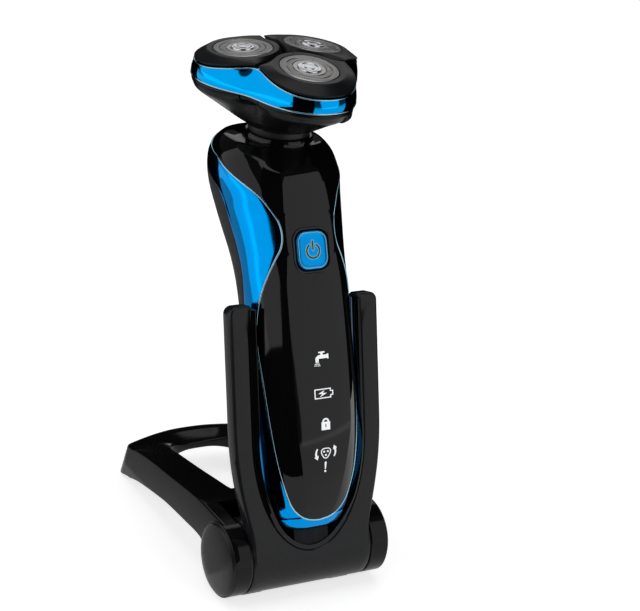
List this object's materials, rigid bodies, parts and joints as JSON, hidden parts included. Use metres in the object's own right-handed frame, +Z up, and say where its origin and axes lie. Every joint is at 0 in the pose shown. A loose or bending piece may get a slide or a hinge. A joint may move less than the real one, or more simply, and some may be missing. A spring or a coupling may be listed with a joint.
{
  "type": "rotary shaver with charging stand",
  "caption": "Cordless rotary shaver with three round cutters on a tilting flip-open head, leaning in a folding charging stand with a barrel foot and a looped rear leg.",
  "frame": {"origin": "middle of the whole part's outline seen from above, on the floor", "axes": "+Z up, +Y from the stand's barrel towards the end of its leg, +X to the shaver's left hand side when it is seen from the front"},
  "size_m": [0.0682, 0.1106, 0.1927],
  "materials": {
    "black_gloss": "high gloss",
    "leg_satin": "satin, glossy black on top",
    "black_matte": "matte",
    "grip_rubber": "fine matte rubber",
    "blue_metallised": "metallised, mirror-like blue",
    "band_metallised": "metallised, mirror-like blue",
    "button_blue": "satin gloss with an inked standby sign",
    "stand_satin": "satin gloss",
    "pad_satin": "satin",
    "cap_steel": "turned, with fine radial slots",
    "bright_trim": "polished, pale cyan",
    "steel": "fine turned",
    "motor_steel": "drawn can",
    "contact_metal": "plated",
    "board_green": "solder resist",
    "cell_wrap": "shrink sleeve",
    "white_plastic": "moulded",
    "lamp_clear": "translucent",
    "foot_rubber": "matte",
    "button_grey": "satin"
  },
  "bodies": {
    "stand": {"cradle": "stand_satin", "contact_pins": "contact_metal", "charging_board": "board_green", "dc_inlet": "black_matte", "stand_feet": "foot_rubber", "hinge_axles": "motor_steel", "friction_washers": "black_matte", "recess_pad": "foot_rubber"},
    "leg": {"leg_frame": "leg_satin", "leg_feet": "foot_rubber", "left_end_cap": "stand_satin", "right_end_cap": "stand_satin"},
    "handle": {"front_shell": "black_gloss", "back_grip": "grip_rubber", "left_side_panel": "blue_metallised", "right_side_panel": "blue_metallised", "panel_trim": "bright_trim", "bottom_cap": "blue_metallised", "charge_contacts": "contact_metal", "inner_frame": "white_plastic", "battery": "cell_wrap", "motor": "motor_steel", "circuit_board": "board_green", "indicator_lamps": "lamp_clear", "button_frame": "black_gloss", "button_switch": "black_matte", "frame_screws": "steel", "shoulder_cap": "black_gloss", "neck_collar": "black_matte"},
    "button": {"power_button": "button_blue"},
    "rotor": {"motor_shaft": "motor_steel"},
    "head_base": {"neck_ball": "black_matte", "hair_chamber": "black_matte", "gear_plate": "steel", "gear_cover": "black_matte", "side_clips": "black_matte", "head_hinge_pin": "steel"},
    "drive": {"drive_gear": "white_plastic"},
    "front_drive": {"front_spindle": "white_plastic"},
    "right_drive": {"right_spindle": "white_plastic"},
    "left_drive": {"left_spindle": "white_plastic"},
    "release": {"release_tab": "button_grey"},
    "shaving_head": {"head_frame": "black_matte", "head_band": "band_metallised", "upper_trim": "bright_trim", "lower_trim": "bright_trim"},
    "front_unit": {"front_pad": "pad_satin", "front_shaving_cap": "cap_steel", "front_cap_disc": "steel"},
    "right_unit": {"right_pad": "pad_satin", "right_shaving_cap": "cap_steel", "right_cap_disc": "steel"},
    "left_unit": {"left_pad": "pad_satin", "left_shaving_cap": "cap_steel", "left_cap_disc": "steel"},
    "front_blade": {"front_cutter": "steel"},
    "right_blade": {"right_cutter": "steel"},
    "left_blade": {"left_cutter": "steel"}
  },
  "joints": [
    {"name": "leg_fold", "type": "hinge", "parent": "stand", "child": "leg", "pos_m": [0, -0.0411, 0.015], "axis": [1, 0, 0], "range_deg": [0, 26]},
    {"name": "shaver_lift", "type": "slide", "parent": "stand", "child": "handle", "axis": [0, 0.4179, 0.9085], "range_m": [0, 0.12]},
    {"name": "power_press", "type": "slide", "parent": "handle", "child": "button", "axis": [0, 0.9085, -0.4179], "range_m": [0, 0.0007], "stiffness_N_per_m": 500},
    {"name": "motor_spin", "type": "hinge", "parent": "handle", "child": "rotor", "pos_m": [0, 0.00937, 0.1647], "axis": [0, 0, 1], "continuous": true},
    {"name": "neck_tilt", "type": "hinge", "parent": "handle", "child": "head_base", "pos_m": [0, 0.00937, 0.1647], "axis": [1, 0, 0], "range_deg": [-6, 6], "stiffness_Nm_per_rad": 0.6},
    {"name": "drive_spin", "type": "hinge", "parent": "head_base", "child": "drive", "pos_m": [0, 0.00937, 0.1647], "axis": [0, 0, 1], "continuous": true},
    {"name": "front_drive_spin", "type": "hinge", "parent": "head_base", "child": "front_drive", "pos_m": [0, -0.00626, 0.1752], "axis": [0, 0, 1], "continuous": true},
    {"name": "right_drive_spin", "type": "hinge", "parent": "head_base", "child": "right_drive", "pos_m": [0.01354, 0.01719, 0.1752], "axis": [0, 0, 1], "continuous": true},
    {"name": "left_drive_spin", "type": "hinge", "parent": "head_base", "child": "left_drive", "pos_m": [-0.01354, 0.01719, 0.1752], "axis": [0, 0, 1], "continuous": true},
    {"name": "release_press", "type": "slide", "parent": "head_base", "child": "release", "axis": [-0.7071, 0.7071, 0], "range_m": [0, 0.0006], "stiffness_N_per_m": 500},
    {"name": "head_open", "type": "hinge", "parent": "head_base", "child": "shaving_head", "pos_m": [0, 0.03628, 0.18], "axis": [-1, 0, 0], "range_deg": [0, 85]},
    {"name": "front_unit_tilt", "type": "hinge", "parent": "shaving_head", "child": "front_unit", "pos_m": [0, -0.00626, 0.18524], "axis": [1, 0, 0], "range_deg": [-2, 2], "stiffness_Nm_per_rad": 0.08},
    {"name": "front_blade_spin", "type": "hinge", "parent": "front_unit", "child": "front_blade", "pos_m": [0, -0.00626, 0.18524], "axis": [0, -0.1115, 0.9938], "continuous": true},
    {"name": "right_unit_tilt", "type": "hinge", "parent": "shaving_head", "child": "right_unit", "pos_m": [0.01354, 0.01719, 0.18524], "axis": [-0.5, 0.866, 0], "range_deg": [-2, 2], "stiffness_Nm_per_rad": 0.08},
    {"name": "right_blade_spin", "type": "hinge", "parent": "right_unit", "child": "right_blade", "pos_m": [0.01354, 0.01719, 0.18524], "axis": [0.0965, 0.0557, 0.9938], "continuous": true},
    {"name": "left_unit_tilt", "type": "hinge", "parent": "shaving_head", "child": "left_unit", "pos_m": [-0.01354, 0.01719, 0.18524], "axis": [-0.5, -0.866, 0], "range_deg": [-2, 2], "stiffness_Nm_per_rad": 0.08},
    {"name": "left_blade_spin", "type": "hinge", "parent": "left_unit", "child": "left_blade", "pos_m": [-0.01354, 0.01719, 0.18524], "axis": [-0.0965, 0.0557, 0.9938], "continuous": true}
  ],
  "couplings": [
    {"joint": "drive_spin", "follows": "motor_spin", "ratio": 1},
    {"joint": "front_drive_spin", "follows": "motor_spin", "ratio": -0.66667},
    {"joint": "front_blade_spin", "follows": "motor_spin", "ratio": -0.66667},
    {"joint": "right_drive_spin", "follows": "motor_spin", "ratio": -0.66667},
    {"joint": "right_blade_spin", "follows": "motor_spin", "ratio": -0.66667},
    {"joint": "left_drive_spin", "follows": "motor_spin", "ratio": -0.66667},
    {"joint": "left_blade_spin", "follows": "motor_spin", "ratio": -0.66667}
  ]
}
